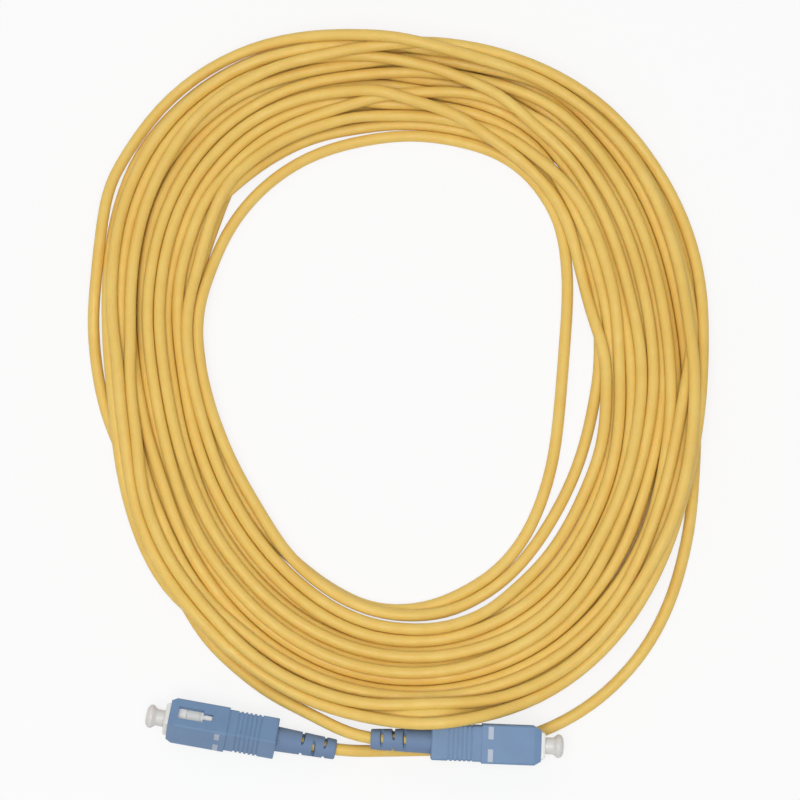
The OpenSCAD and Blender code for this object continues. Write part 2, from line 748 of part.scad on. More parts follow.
module dust_cap() {
    bore = ferrule_d / 2 + cap_gap;
    tip = knob_x + cap_knob_len;
    round_r = cap_knob_d / 6;
    color(white) turned_x(concat(
        [
            [cap_rear_x, bore], [cap_rear_x, cap_neck_d / 2],
            [knob_x, cap_neck_d / 2], [knob_x + knob_flank, cap_knob_d / 2]
        ],
        [for (a = [0:15:90])
            [tip - round_r * (1 - sin(a)), cap_knob_d / 2 - round_r * (1 - cos(a))]],
        [[tip, 0], [ferrule_tip_x + cap_room, 0], [ferrule_tip_x + cap_room, bore]]
    ));
}

module cable_coil() { color(jacket_yellow) tube(coil_route, coil_sides); }
module cable_tail_a() { color(jacket_yellow) tube(tail_path_a, tail_sides); }
module cable_tail_b() { color(jacket_yellow) tube(tail_path_b, tail_sides); }

module place(end, yaw, pitch, roll) {
    translate(end) rotate([0, 0, yaw]) rotate([0, -pitch, 0]) rotate([roll, 0, 0])
        translate([boot_out, 0, 0]) children();
}
module at_a() { place(exit_a, yaw_a, pitch_a, roll_a) children(); }
module at_b() { place(exit_b, yaw_b, pitch_b, roll_b) children(); }

at_a() coupling_sleeve();  // a_coupling_sleeve
at_a() index_marks();  // a_index_marks
at_a() plug_frame();  // a_plug_frame
at_a() ferrule();  // a_ferrule
at_a() ferrule_flange();  // a_ferrule_flange
at_a() spring();  // a_spring
at_a() inner_tube();  // a_inner_tube
at_a() fibre();  // a_fibre
at_a() backbone();  // a_backbone
at_a() crimp_sleeve();  // a_crimp_sleeve
at_a() strength_yarn();  // a_strength_yarn
at_a() rotate([boot_turn_a, 0, 0]) boot();  // a_boot
at_a() dust_cap();  // a_dust_cap
at_b() coupling_sleeve();  // b_coupling_sleeve
at_b() index_marks();  // b_index_marks
at_b() plug_frame();  // b_plug_frame
at_b() ferrule();  // b_ferrule
at_b() ferrule_flange();  // b_ferrule_flange
at_b() spring();  // b_spring
at_b() inner_tube();  // b_inner_tube
at_b() fibre();  // b_fibre
at_b() backbone();  // b_backbone
at_b() crimp_sleeve();  // b_crimp_sleeve
at_b() strength_yarn();  // b_strength_yarn
at_b() boot();  // b_boot
at_b() dust_cap();  // b_dust_cap
cable_tail_a();
cable_coil();
cable_tail_b();
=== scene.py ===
"""Dresses the fibre optic patch cord: ten metres of yellow cable in a loose coil, with a blue
push-pull plug, a slotted boot and a pale dust cap on each end.

The coil is laid turn by turn, as a hand lays it, so each turn rests on the turns below it.
Lengths inside the laying functions are in millimetres, and Blender's are in metres.
"""

import math

import bmesh
import bpy
import numpy as np
from mathutils import Euler, Matrix, Vector


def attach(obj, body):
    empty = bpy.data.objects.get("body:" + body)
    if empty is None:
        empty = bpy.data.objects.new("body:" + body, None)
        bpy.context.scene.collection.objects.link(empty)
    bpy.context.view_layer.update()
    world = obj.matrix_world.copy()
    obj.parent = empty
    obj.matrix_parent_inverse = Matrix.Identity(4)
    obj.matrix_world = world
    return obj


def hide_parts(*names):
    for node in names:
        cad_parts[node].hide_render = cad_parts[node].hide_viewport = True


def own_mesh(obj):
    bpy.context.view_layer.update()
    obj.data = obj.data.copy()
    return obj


bl_info = {
    "name": "Fibre Patch Cord",
    "version": (1, 0, 0),
    "blender": (4, 5, 0),
    "location": "View3D > Sidebar > Patch Cord",
    "description": "Lays the coiled cable and finishes the plugs of a fibre patch cord",
    "category": "Object",
}

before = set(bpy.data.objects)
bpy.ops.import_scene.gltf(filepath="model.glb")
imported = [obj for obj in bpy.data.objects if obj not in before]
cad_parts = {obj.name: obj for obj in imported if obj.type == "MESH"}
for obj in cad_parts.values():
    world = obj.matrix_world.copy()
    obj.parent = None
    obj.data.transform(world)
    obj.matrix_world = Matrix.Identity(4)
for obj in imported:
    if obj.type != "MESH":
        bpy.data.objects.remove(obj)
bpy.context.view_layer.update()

MM = 0.001
PLUGS = ("a", "b")


# ---------------------------------------------------------------- places from the CAD, in mm

CABLE_D = 2.8
BOOT_OUT = 14.0
JACKET_X = -1.8
NECK_X = -5.0

EXIT_A = (-4.4, -4.0, 4.25)
YAW_A, PITCH_A, ROLL_A = 170.0, 4.0, -64.0
EXIT_B = (3.8, -1.7, 7.5)
YAW_B, PITCH_B, ROLL_B = -2.2, 0.0, 5.0

ROUTE_A = (
    (2.5, -4.3, 3.1), (7, -4.2, 2.2), (13, -4.1, 1.6), (19, -4, 1.4), (25, -3.7, 1.4),
    (31.5, -3, 1.4), (38, -1.6, 1.4), (44, 0.3, 1.4), (50, 3.1, 1.4), (57, 7.6, 1.4),
    (62, 12.1, 1.4), (66.5, 17, 1.4), (70, 22, 1.4), (73, 27.5, 1.4), (75.5, 33.5, 1.4),
    (77.3, 39.5, 1.4), (78.9, 46, 1.4), (80, 53, 1.4),
)
ROUTE_B = (
    (-1.3, -0.45, 7.3), (-4, 0.75, 6.9), (-6.8, 2.25, 6.3), (-12, 5, 4.9), (-17.4, 7.6, 3.4),
    (-21.5, 10.2, 2.4),
)


def nose(yaw, pitch):
    """Unit vector from a plug's rear end to its nose."""
    yaw, pitch = math.radians(yaw), math.radians(pitch)
    return np.array(
        [math.cos(pitch) * math.cos(yaw), math.cos(pitch) * math.sin(yaw), math.sin(pitch)]
    )


def on_axis(end, direction, x):
    """Point on a plug's axis, x millimetres in front of the sleeve's rear face."""
    return np.array(end) + (x + BOOT_OUT) * direction


# ---------------------------------------------------------------- how the coil lies

MARKS = 24
STATIONS = 144
GRID_STEP = 0.25
GRID = np.arange(-23, 19.01, GRID_STEP)
# Room that the laid turns and the settled turns keep between their skins
LAID_ROOM = 0.06
SETTLED_ROOM = 0.04
# How often and how far a turn wanders across the bundle
DRIFT_WAVES = 0.61
DRIFT_SHARE = 0.03
MID = {"centre": (10.6, 87.0), "half": (57.7, 71.4), "power": 2.25, "tilt": 8.0}

# Outermost and innermost turn of the bundle at each mark round the coil, counted from the
# right side towards the top, in millimetres outwards from the middle oval
OUTER = (
    16, 17.5, 17.2, 14.8, 10, 7.4, 8.4, 12, 15.6, 16, 13.2, 11.4,
    10.8, 12, 13.3, 11, 11.6, 12.4, 13.2, 13.7, 12.6, 11.2, 11, 12.8,
)
INNER = (
    -9.5, -10.8, -9.4, -9, -11, -13.3, -12, -10, -9.5, -8.5, -9.4, -9.2,
    -10.4, -12.7, -14.6, -15.2, -14.2, -10.4, -7.4, -9.6, -12, -12.5, -10, -9,
)
# Tail b's way from its plug along the table and under the outermost turns: the mark, the place
# across the bundle and the height
UNDER_B = (
    (15.6, 13.6, 1.6), (15.2, 13.1, 1.5), (14.8, 12.2, 1.5), (14.3, 11, 1.5),
    (13.8, 10.3, 1.5), (13.3, 10.1, 1.5), (12.9, 10.5, 1.5), (12.5, 11.7, 1.5),
    (12.1, 13.3, 1.5), (11.7, 14.5, 1.7), (11.2, 15.2, 2.5), (10.7, 15.4, 4.2),
)
# The two turns that came loose on the inside, right of the middle
LOOSE_INNER = (
    -18, -13.4, -9.4, -7.8, -11.2, -13.3, -14.2, -14.6, -14.2, -12.7, -10.8, -9.3,
    -10.5, -12.8, -14.7, -15.3, -14.2, -12.6, -13.2, -16.3, -18.4, -20.2, -20.8, -20.6,
)
LOOSE_SECOND = (
    -9.8, -9.5, -9, -9.8, -11, -11, -10.5, -10, -9.5, -8.5, -9.5, -9.4,
    -10.7, -12.9, -14.8, -15.3, -13.9, -12.2, -12.4, -14.2, -15.9, -16.4, -14.5, -12.4,
)
# Place of each pass along the bottom in the bundle, 0 at the inside and 1 at the outside
PASSES = (
    1, 0.85, 0.95, 0.7, 0.6, 0.4, 0.25, 0.05, 0.15, 0.1, 0.35, 0.5,
    0.45, 0.65, 0.8, 0.9, 0.7, 0.55, 0.3, 0.2, 0.4, 0.75, 1, 1,
)


def round_values(values, marks):
    """Smooth closed curve through values at equal steps round the coil, read at marks."""
    values = np.asarray(values, float)
    count = len(values)
    x = (np.asarray(marks) / MARKS % 1.0) * count
    i = np.floor(x).astype(int)
    f = x - i
    a, b, c, d = (values[(i + k) % count] for k in (-1, 0, 1, 2))
    return 0.5 * (
        2 * b + (c - a) * f + (2 * a - 5 * b + 4 * c - d) * f**2 + (3 * b - a - 3 * c + d) * f**3
    )


def ease(x):
    x = np.clip(x, 0, 1)
    return x * x * (3 - 2 * x)


def smoothed(values, times):
    """Values with each one drawn to its neighbours; the two ends stay."""
    values = values.copy()
    for _ in range(times):
        values[1:-1] = (values[:-2] + 2 * values[1:-1] + values[2:]) / 4
    return values


def middle_oval():
    """Points of the middle oval at equal distances, and its outward directions."""
    angle = 2 * np.pi * np.arange(0, 1, 1 / 14400)
    power = 2 / MID["power"]
    x = MID["half"][0] * np.sign(np.cos(angle)) * np.abs(np.cos(angle)) ** power
    y = MID["half"][1] * np.sign(np.sin(angle)) * np.abs(np.sin(angle)) ** power
    tilt = math.radians(MID["tilt"])
    fine = np.c_[
        MID["centre"][0] + x * math.cos(tilt) - y * math.sin(tilt),
        MID["centre"][1] + x * math.sin(tilt) + y * math.cos(tilt),
    ]
    fine = np.vstack([fine, fine[:1]])
    run = np.r_[0, np.cumsum(np.linalg.norm(np.diff(fine, axis=0), axis=1))]
    at = np.arange(STATIONS) / STATIONS * run[-1]
    middle = np.c_[np.interp(at, run, fine[:, 0]), np.interp(at, run, fine[:, 1])]
    for _ in range(6):
        middle = (np.roll(middle, 1, 0) + 2 * middle + np.roll(middle, -1, 0)) / 4
    along = np.roll(middle, -1, 0) - np.roll(middle, 1, 0)
    along /= np.linalg.norm(along, axis=1)[:, None]
    return middle, np.c_[along[:, 1], -along[:, 0]]


def wanted_places(marks, seed):
    """Where each station of the cable would like to lie across the bundle, and how strongly."""
    draw = np.random.default_rng(seed)
    turn = (marks - 1) / MARKS
    whole = np.floor(turn).astype(int)
    part = (turn - whole) * MARKS / 10
    middle = draw.uniform(0.3, 0.7, 40)
    width = draw.uniform(0.5, 1.0, 40)
    passes = np.array(PASSES, float)
    start = passes[np.clip(whole, 0, len(passes) - 1)]
    end = passes[np.clip(whole + 1, 0, len(passes) - 1)]
    share = start + (end - start) * ease((part - middle[whole]) / width[whole] + 0.5)
    along = 2 * np.pi * marks / MARKS * DRIFT_WAVES
    drift = sum(
        draw.normal() * np.cos(along * m + draw.uniform(0, 2 * np.pi)) / m for m in range(1, 9)
    )
    share = np.clip(share + DRIFT_SHARE * drift / drift.std(), 0, 1)
    inner, outer = round_values(INNER, marks), round_values(OUTER, marks)
    place = inner + (outer - inner) * share
    pull = np.full(len(marks), 0.05)
    over_plug = np.array(OUTER, float)
    over_plug[16:20] += (-0.4, 0.4, 2, 1.2)
    for passed, offsets, length in (
        (7, LOOSE_INNER, 24), (8, LOOSE_SECOND, 9), (22, over_plug, 5),
    ):
        first = MARKS * (passed - 1) + 15
        share = ease((marks - first + 1) / 2) * ease((first + length + 1 - marks) / 2)
        place = place * (1 - share) + round_values(offsets, marks) * share
        pull = pull + 0.6 * share
    return place, pull, np.minimum(inner, place), np.maximum(outer, place)


def lay_turns(place, pull, low, high, first, ground):
    """Lays the cable turn by turn. Each turn looks for the lowest way near its wanted place,
    and then rests on the turns below it. Gives its place across the bundle and its height."""
    gap = CABLE_D + LAID_ROOM
    radius = CABLE_D / 2
    grid = GRID
    step = 4
    reach = np.arange(-step, step + 1)
    joined = 12
    count = len(place)
    across, height = np.full(count, np.nan), np.full(count, np.nan)
    done = 0
    while done < count:
        take = min(STATIONS, count - done)
        look = min(take + STATIONS // 4, count - done)
        rows = np.arange(done, done + look)
        rest = np.empty((look, len(grid)))
        for r, s in enumerate(rows):
            rest[r] = np.maximum(radius, ground[(first + s) % STATIONS])
            below = np.arange(s - STATIONS, -1, -STATIONS)
            below = below[below < done]
            if len(below):
                off = np.abs(grid[None, :] - across[below][:, None])
                top = height[below][:, None] + np.sqrt(np.maximum(gap**2 - off**2, 0))
                rest[r] = np.maximum(rest[r], np.where(off < gap, top, radius).max(0))
        cost = rest + pull[rows][:, None] * (grid[None, :] - place[rows][:, None]) ** 2
        cost += 4 * np.maximum(0, grid[None, :] - high[rows][:, None]) ** 2
        cost += 4 * np.maximum(0, low[rows][:, None] - grid[None, :]) ** 2
        anchor = across[done - 1] if done else place[0]
        total = cost[0] + 50 * (grid - anchor) ** 2
        back = np.zeros((look, len(grid)), int)
        for r in range(1, look):
            padded = np.pad(total, step, constant_values=1e9)
            ways = np.stack(
                [
                    padded[step + o : step + o + len(grid)] + 4 * (o * GRID_STEP) ** 2
                    for o in reach
                ]
            )
            best = ways.argmin(0)
            back[r] = reach[best]
            total = ways[best, np.arange(len(grid))] + cost[r]
        g = int(total.argmin())
        way = np.empty(look, int)
        for r in range(look - 1, -1, -1):
            way[r] = g
            g += back[r][g]
        before = across[max(0, done - joined) : done]
        eased = smoothed(np.r_[before, grid[way]], 14)[len(before) :]
        across[done : done + take] = eased[:take]
        support = np.full(take, radius)
        for r in range(take):
            s = done + r
            on_ground = np.interp(across[s], grid, ground[(first + s) % STATIONS])
            support[r] = max(support[r], on_ground)
            below = np.arange(s - STATIONS, -1, -STATIONS)
            off = np.abs(across[s] - across[below])
            near = off < gap
            if near.any():
                top = height[below][near] + np.sqrt(gap**2 - off[near] ** 2)
                support[r] = max(support[r], top.max())
        before = height[max(0, done - joined) : done]
        line = np.r_[before, support]
        for _ in range(40):
            line = smoothed(line, 1)
            line[len(before) :] = np.maximum(line[len(before) :], support)
            line[: len(before)] = before
        height[done : done + take] = line[len(before) :]
        done += take
    return across, height


def settle(across, height, place, low, high, ground_at, rounds=150):
    """Lets the laid turns sink and close up, and pushes apart those nearer than a cable."""
    gap = CABLE_D + SETTLED_ROOM
    turns = -(-len(across) // STATIONS)
    spare = turns * STATIONS - len(across)
    held = np.zeros(len(across), bool)
    held[:6] = held[-6:] = True
    first, second = np.triu_indices(turns, 1)
    start = across.copy(), height.copy()
    closing_rounds = 50
    for turn in range(rounds):
        closing = turn >= rounds - closing_rounds
        sink = 0 if closing else 0.02
        height = np.where(held, start[1], height - sink)
        outside = np.clip(across, low - 0.3, high + 0.3) - across
        drawn = across + 0.002 * (place - across) + 0.15 * outside
        across = np.where(held, start[0], drawn)
        ease_in = 0.01 if closing else 0.08
        across = (1 - ease_in) * across + ease_in * smoothed(across, 1)
        height = (1 - ease_in) * height + ease_in * smoothed(height, 1)
        for _ in range(20 if closing else 10):
            u = np.r_[across, np.full(spare, 1e3)].reshape(turns, STATIONS)
            h = np.r_[height, np.zeros(spare)].reshape(turns, STATIONS)
            du, dh = u[first] - u[second], h[first] - h[second]
            far = np.hypot(du, dh)
            push = np.maximum(gap - far, 0) / np.maximum(far, 0.01) / 2
            move_u, move_h = np.zeros_like(u), np.zeros_like(h)
            np.add.at(move_u, first, push * du)
            np.add.at(move_u, second, -push * du)
            np.add.at(move_h, first, push * dh)
            np.add.at(move_h, second, -push * dh)
            across = np.where(held, across, (u + 0.8 * move_u).ravel()[: len(across)])
            height = np.where(held, height, (h + 0.8 * move_h).ravel()[: len(across)])
            height = np.maximum(height, ground_at(across))
    return across, height


# ---------------------------------------------------------------- the cable's whole path

FIRST_MARK = 22
COIL_TURNS = 22.5
SLEEVE_HALF_W, SLEEVE_TOP, SLEEVE_LEN, SLEEVE_TRAVEL = 4.5, 4.1, 25.4, 1.8
BOOT_END_R, BOOT_R = 2.35, 2.9


def ground_over_tail(middle, outward, grid, tail):
    """Height at which the tail on the table holds a turn that lies on it."""
    gap = CABLE_D + LAID_ROOM
    spot = middle[:, None, :] + grid[None, :, None] * outward[:, None, :]
    height = np.zeros(spot.shape[:2])
    for point in tail:
        off = np.linalg.norm(spot - point[:2], axis=2)
        over = point[2] + np.sqrt(np.maximum(gap**2 - off**2, 0))
        height = np.maximum(height, np.where(off < gap, over, 0))
    return height


def ground_over_plug(middle, outward, grid):
    """Height at which plug b holds a turn that crosses it, for each station and place."""
    clear = CABLE_D / 2 + 0.1
    forward = nose(YAW_B, PITCH_B)[:2]
    forward /= np.linalg.norm(forward)
    side = np.array([-forward[1], forward[0]])
    spot = middle[:, None, :] + grid[None, :, None] * outward[:, None, :] - np.array(EXIT_B[:2])
    along = spot @ forward - BOOT_OUT
    aside = np.abs(spot @ side)
    over = np.maximum(aside - SLEEVE_HALF_W, 0)
    ahead = np.maximum(np.maximum(-SLEEVE_TRAVEL - along, along - SLEEVE_LEN), 0)
    edge = np.hypot(over, ahead)
    sleeve = EXIT_B[2] + SLEEVE_TOP + np.sqrt(np.maximum(clear**2 - edge**2, 0))
    boot_r = BOOT_R + (BOOT_R - BOOT_END_R) * np.clip(along / BOOT_OUT, -1, 0) + clear
    on_boot = (along > -BOOT_OUT - clear) & (along < 0) & (aside < boot_r)
    boot = EXIT_B[2] + np.sqrt(np.maximum(boot_r**2 - aside**2, 0))
    return np.maximum(np.where(edge < clear, sleeve, 0), np.where(on_boot, boot, 0))


def through(points, spacing):
    """Smooth curve through a few points, read at equal distances."""
    points = np.asarray(points, float)
    padded = np.vstack([2 * points[0] - points[1], points, 2 * points[-1] - points[-2]])
    fine = []
    for i in range(1, len(padded) - 2):
        a, b, c, d = padded[i - 1 : i + 3]
        f = np.linspace(0, 1, 24, endpoint=False)[:, None]
        fine.append(
            0.5 * (2 * b + (c - a) * f + (2 * a - 5 * b + 4 * c - d) * f**2
                   + (3 * b - a - 3 * c + d) * f**3)
        )
    fine = np.vstack(fine + [points[-1:]])
    run = np.r_[0, np.cumsum(np.linalg.norm(np.diff(fine, axis=0), axis=1))]
    at = np.linspace(0, run[-1], max(2, round(run[-1] / spacing)))
    return np.c_[tuple(np.interp(at, run, fine[:, k]) for k in range(3))]


def cable_path(seed):
    """The centreline from inside boot a, through the coil, to inside boot b, in millimetres."""
    middle, outward = middle_oval()
    count = round(COIL_TURNS * STATIONS) + 1
    first = FIRST_MARK * STATIONS // MARKS
    marks = FIRST_MARK + np.arange(count) * MARKS / STATIONS
    place, pull, low, high = wanted_places(marks, seed)
    hold = STATIONS // 12
    place[:hold] = 12.8
    last = ease((marks - marks[-1] + 5) / 2.5)
    place = place * (1 - last) + (round_values(OUTER, marks) + 2.5) * last
    pull[: 2 * hold], pull[-2 * hold :] = 2, 2
    low, high = np.minimum(low, place), np.maximum(high, place)
    plug_x = (JACKET_X, NECK_X, (NECK_X - BOOT_OUT) / 2, -BOOT_OUT, -BOOT_OUT - CABLE_D)
    tail_a = [on_axis(EXIT_A, nose(YAW_A, PITCH_A), x) for x in plug_x] + list(ROUTE_A)
    tail_b = [on_axis(EXIT_B, nose(YAW_B, PITCH_B), x) for x in plug_x[:-1]] + list(ROUTE_B)
    for mark, offset, height in UNDER_B:
        s = round(mark * STATIONS / MARKS)
        tail_b.append((*(middle[s] + offset * outward[s]), height))
    lying = through(tail_b[4:-2], 1)
    ground = np.maximum(
        ground_over_plug(middle, outward, GRID), ground_over_tail(middle, outward, GRID, lying)
    )
    across, height = lay_turns(place, pull, low, high, first, ground)
    index = (first + np.arange(count)) % STATIONS

    def ground_at(across):
        cell = np.clip(np.round((across - GRID[0]) / GRID_STEP).astype(int), 0, len(GRID) - 1)
        return np.maximum(ground[index, cell], CABLE_D / 2)

    across, height = settle(across, height, place, low, high, ground_at)
    coil = np.c_[middle[index] + across[:, None] * outward[index], height]
    start = through(tail_a + [coil[3], coil[6]], 2.5)
    end = through([coil[-7], coil[-4]] + tail_b[::-1], 2.5)
    path = np.vstack([start, coil[8:-8], end])
    straight = 4
    path[straight:-straight] = smoothed(path, 4)[straight:-straight]
    return path


# ---------------------------------------------------------------- finishes


def srgb(red, green, blue):
    """Scene colour of an 8-bit screen colour."""
    linear = []
    for value in (red, green, blue):
        value /= 255
        linear.append(value / 12.92 if value <= 0.04045 else ((value + 0.055) / 1.055) ** 2.4)
    return (*linear, 1.0)


class Finish:
    """A material with its nodes, built one after another."""

    def __init__(self, name, colour, roughness):
        self.material = bpy.data.materials.new(name)
        self.material.use_nodes = True
        self.material.diffuse_color = colour
        self.tree = self.material.node_tree
        self.shader = self.tree.nodes["Principled BSDF"]
        self.shader.inputs["Base Color"].default_value = colour
        self.shader.inputs["Roughness"].default_value = roughness
        self.place = self.node("ShaderNodeTexCoord").outputs["Object"]

    def node(self, kind, **values):
        made = self.tree.nodes.new(kind)
        for key, value in values.items():
            setattr(made, key, value)
        return made

    def link(self, output, target):
        self.tree.links.new(output, target)

    def set(self, **values):
        for key, value in values.items():
            self.shader.inputs[key.replace("_", " ")].default_value = value
        return self

    def noise(self, size, detail=3.0, roughness=0.55):
        """Noise whose spots are about that many millimetres across."""
        made = self.node("ShaderNodeTexNoise")
        made.inputs["Scale"].default_value = 1 / (size * MM)
        made.inputs["Detail"].default_value = detail
        made.inputs["Roughness"].default_value = roughness
        self.link(self.place, made.inputs["Vector"])
        return made.outputs["Fac"]

    def ramp(self, source, *stops):
        made = self.node("ShaderNodeValToRGB")
        elements = made.color_ramp.elements
        while len(elements) < len(stops):
            elements.new(0.5)
        for element, (at, colour) in zip(elements, stops):
            element.position, element.color = at, colour
        self.link(source, made.inputs["Fac"])
        return made.outputs["Color"]

    def mix(self, share, first, second, blend="MIX"):
        made = self.node("ShaderNodeMix", data_type="RGBA", blend_type=blend)
        for socket, value in ((0, share), (6, first), (7, second)):
            if hasattr(value, "node"):
                self.link(value, made.inputs[socket])
            else:
                made.inputs[socket].default_value = value
        return made.outputs[2]

    def between(self, source, low, high):
        """Source's 0.3 to 0.7 spread from low to high."""
        made = self.node("ShaderNodeMapRange")
        for name, value in zip(("From Min", "From Max", "To Min", "To Max"), (0.3, 0.7, low, high)):
            made.inputs[name].default_value = value
        self.link(source, made.inputs["Value"])
        return made.outputs["Result"]

    def bump(self, source, depth, strength=1.0):
        """Relief of that depth in millimetres."""
        made = self.node("ShaderNodeBump")
        made.inputs["Strength"].default_value = strength
        made.inputs["Distance"].default_value = depth * MM
        self.link(source, made.inputs["Height"])
        self.link(made.outputs["Normal"], self.shader.inputs["Normal"])


def moulded(name, colour, shade, roughness, grain=0.12, depth=0.01, cloud=6.0):
    """Moulded plastic or rubber: a fine grain, faint clouds of colour and uneven gloss."""
    finish = Finish(name, colour, roughness)
    clouds = finish.between(finish.noise(cloud, 4), 0, 1)
    finish.link(finish.mix(clouds, colour, shade), finish.shader.inputs["Base Color"])
    finish.link(
        finish.between(finish.noise(grain * 6), roughness - 0.06, roughness + 0.06),
        finish.shader.inputs["Roughness"],
    )
    finish.bump(finish.noise(grain), depth, 0.5)
    return finish


def metal(name, colour, roughness):
    """Metal with fine tool marks."""
    finish = Finish(name, colour, roughness).set(Metallic=1.0)
    marks = finish.noise(0.1, 5)
    finish.link(
        finish.between(marks, roughness - 0.05, roughness + 0.1), finish.shader.inputs["Roughness"]
    )
    finish.bump(marks, 0.004, 0.4)
    return finish


def cable_jacket(colour, shade):
    """Soft satin jacket, a little deeper in colour where the extruder ran slow."""
    finish = Finish("cable jacket", colour, 0.42)
    cloud = finish.between(finish.noise(14, 3), 0, 1)
    streak = finish.between(finish.noise(3.5, 2), 0, 1)
    base = finish.mix(cloud, colour, shade)
    base = finish.mix(finish.between(streak, 0, 0.25), base, shade)
    finish.link(base, finish.shader.inputs["Base Color"])
    finish.link(finish.between(streak, 0.36, 0.5), finish.shader.inputs["Roughness"])
    finish.bump(finish.noise(0.35, 4), 0.02, 0.35)
    finish.set(IOR=1.48, Specular_IOR_Level=0.3, Subsurface_Weight=0.4,
               Subsurface_Radius=(1.0, 0.5, 0.2), Subsurface_Scale=1.2 * MM)
    return finish


def finishes(settings):
    """Every finish of the cord by the record's slot name."""
    blue, boot_blue = settings.sleeve_colour, settings.boot_colour

    def darker(colour, share):
        return (*(value * share for value in colour[:3]), 1.0)

    made = {
        "cable_jacket": cable_jacket(
            tuple(settings.jacket_colour), tuple(settings.jacket_shade_colour)
        ),
        "blue_plastic": moulded("sleeve plastic", tuple(blue), darker(blue, 0.93), 0.46),
        "blue_rubber": moulded(
            "boot rubber", tuple(boot_blue), darker(boot_blue, 0.9), 0.6, grain=0.2, depth=0.02
        ),
        "pale_mark": moulded("pale mark", srgb(176, 187, 203), srgb(168, 179, 196), 0.55),
        "white_plastic": moulded("frame plastic", srgb(238, 237, 233), srgb(230, 229, 224), 0.4),
        "cap_plastic": moulded("cap plastic", srgb(223, 222, 219), srgb(213, 212, 208), 0.36),
        "ceramic": moulded("ferrule ceramic", srgb(246, 244, 238), srgb(240, 237, 229), 0.16,
                           grain=0.05, depth=0.001),
        "steel": metal("flange steel", srgb(200, 201, 204), 0.3),
        "spring_steel": metal("spring steel", srgb(178, 180, 184), 0.26),
        "brass": metal("crimp brass", srgb(214, 182, 110), 0.32),
        "yarn": moulded("aramid yarn", srgb(226, 205, 120), srgb(206, 182, 92), 0.7,
                        grain=0.08, depth=0.05, cloud=1.2),
        "fibre_buffer": moulded("fibre buffer", srgb(244, 238, 214), srgb(236, 229, 200), 0.3),
    }
    made["cap_plastic"].set(Subsurface_Weight=0.2, Subsurface_Scale=0.6 * MM)
    made["blue_plastic"].set(Specular_IOR_Level=0.2)
    made["blue_rubber"].set(Specular_IOR_Level=0.2)
    return {slot: finish.material for slot, finish in made.items()}


SLOTS = {
    "index_marks": "pale_mark",
    "ferrule": "ceramic",
    "ferrule_flange": "steel",
    "inner_tube": "fibre_buffer",
    "fibre": "fibre_buffer",
    "backbone": "brass",
    "crimp_sleeve": "brass",
    "strength_yarn": "yarn",
}
_finish = {}


def finish_of(slot):
    if not _finish:
        _finish.update(finishes(bpy.context.scene.patch_cord_plugs))
    return _finish[slot]


def dress(obj, slot):
    obj.data.materials.clear()
    obj.data.materials.append(finish_of(slot))


# ---------------------------------------------------------------- shapes of the plug pieces

ENDS = {"a": (EXIT_A, YAW_A, PITCH_A, ROLL_A), "b": (EXIT_B, YAW_B, PITCH_B, ROLL_B)}
SLOTS_AT = (-11.3, -8.65, -6.0)
SLOT_FLOOR, SLOT_FLARE = 1.1, 0.8
# A spring's rear and front on the plug's axis, and the radii of its wire and its winding
SPRING = (10.48, 16.07, 0.225, 1.825)
# Edges that are drawn sharp, and edges that are softened, by the angle between their faces
SHARP_FROM = math.radians(35)
SOFTENED_FROM = math.radians(25)


def plug_place(plug, turn=0.0):
    """Matrix from millimetres in the plug's own frame to the scene."""
    end, yaw, pitch, roll = ENDS[plug]
    turned = (
        Matrix.Rotation(math.radians(yaw), 4, "Z")
        @ Matrix.Rotation(math.radians(-pitch), 4, "Y")
        @ Matrix.Rotation(math.radians(roll + turn), 4, "X")
    )
    return (
        Matrix.Scale(MM, 4) @ Matrix.Translation(end) @ turned
        @ Matrix.Translation((BOOT_OUT, 0, 0))
    )


def piece(name, shape, slot, body, nodes):
    """Turns a finished bmesh into a piece that stands for CAD nodes and rides on a body."""
    bmesh.ops.recalc_face_normals(shape, faces=shape.faces)
    mesh = bpy.data.meshes.new(name)
    shape.to_mesh(mesh)
    shape.free()
    mesh.shade_smooth()
    mesh.set_sharp_from_angle(angle=SHARP_FROM)
    made = bpy.data.objects.new(name, mesh)
    bpy.context.collection.objects.link(made)
    dress(made, slot)
    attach(made, body)
    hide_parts(*nodes)
    return made


def spun(outline, steps=72):
    """Turns an outline of (x, radius) points once round the plug's axis."""
    shape = bmesh.new()
    points = [shape.verts.new((x, radius, 0)) for x, radius in outline]
    for first, second in zip(points, points[1:]):
        shape.edges.new((first, second))
    if outline[0][1] > 0:
        shape.edges.new((points[-1], points[0]))
    bmesh.ops.spin(
        shape, geom=shape.verts[:] + shape.edges[:], cent=(0, 0, 0), axis=(1, 0, 0),
        angle=2 * math.pi, steps=steps, use_merge=True,
    )
    bmesh.ops.remove_doubles(shape, verts=shape.verts, dist=1e-4)
    return shape


def rounded_corner(x, radius, size, quarter, steps=6):
    """Points of a round corner of an outline; quarter is where it starts, in right angles."""
    return [
        (
            x + size * math.cos(math.pi / 2 * (quarter + k / steps)),
            radius + size * math.sin(math.pi / 2 * (quarter + k / steps)),
        )
        for k in range(steps + 1)
    ]


def softened(node, width):
    """A merged copy of a CAD node's shape with its sharp edges broken."""
    shape = bmesh.new()
    shape.from_mesh(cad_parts[node].data)
    bmesh.ops.remove_doubles(shape, verts=shape.verts, dist=2e-6)
    bmesh.ops.dissolve_limit(
        shape, angle_limit=math.radians(1), verts=shape.verts, edges=shape.edges
    )
    sharp = [
        edge for edge in shape.edges
        if edge.is_manifold and edge.calc_face_angle() > SOFTENED_FROM
    ]
    bmesh.ops.bevel(
        shape, geom=sharp, affect="EDGES", offset=width * MM, offset_type="OFFSET", segments=2,
        profile=0.5, material=-1, clamp_overlap=True,
    )
    return shape


